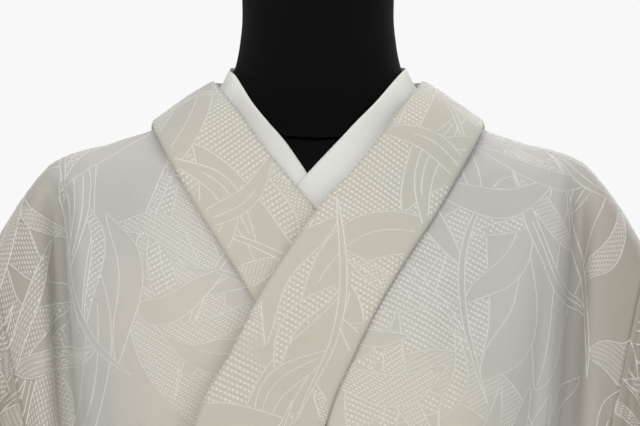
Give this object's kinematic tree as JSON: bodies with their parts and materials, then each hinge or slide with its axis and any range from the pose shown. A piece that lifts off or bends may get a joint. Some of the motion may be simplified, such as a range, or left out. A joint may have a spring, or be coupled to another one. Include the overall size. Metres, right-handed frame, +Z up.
{
  "type": "cotton kimono, wrapped and tied, on a limbless dress form with a pole and a round base",
  "caption": "Pale kimono wrapped left over right with a white inner collar and a plain waist tie, standing on a black limbless dress form with a round base.",
  "frame": {"origin": "middle of the base's flat underside, on the floor", "axes": "+Z up, the garment's front faces -Y, the wearer's left is +X"},
  "size_m": [0.7322, 0.33, 1.4994],
  "materials": {
    "body_cloth": "soft sheen",
    "collar_cloth": "soft sheen",
    "inner_collar_cloth": "matte",
    "tie_cloth": "soft sheen",
    "form_cover": "matte",
    "stand_metal": "satin"
  },
  "bodies": {
    "root": {"body_left": "body_cloth", "body_right": "body_cloth", "okumi_left": "body_cloth", "okumi_right": "body_cloth", "sleeve_left": "body_cloth", "sleeve_right": "body_cloth", "collar": "collar_cloth", "over_collar": "collar_cloth", "inner_collar": "inner_collar_cloth", "waist_tie": "tie_cloth", "waist_tie_end": "tie_cloth", "dress_form": "form_cover", "neck_cap": "stand_metal", "pole": "stand_metal", "pole_socket": "stand_metal", "base": "stand_metal"}
  },
  "joints": []
}
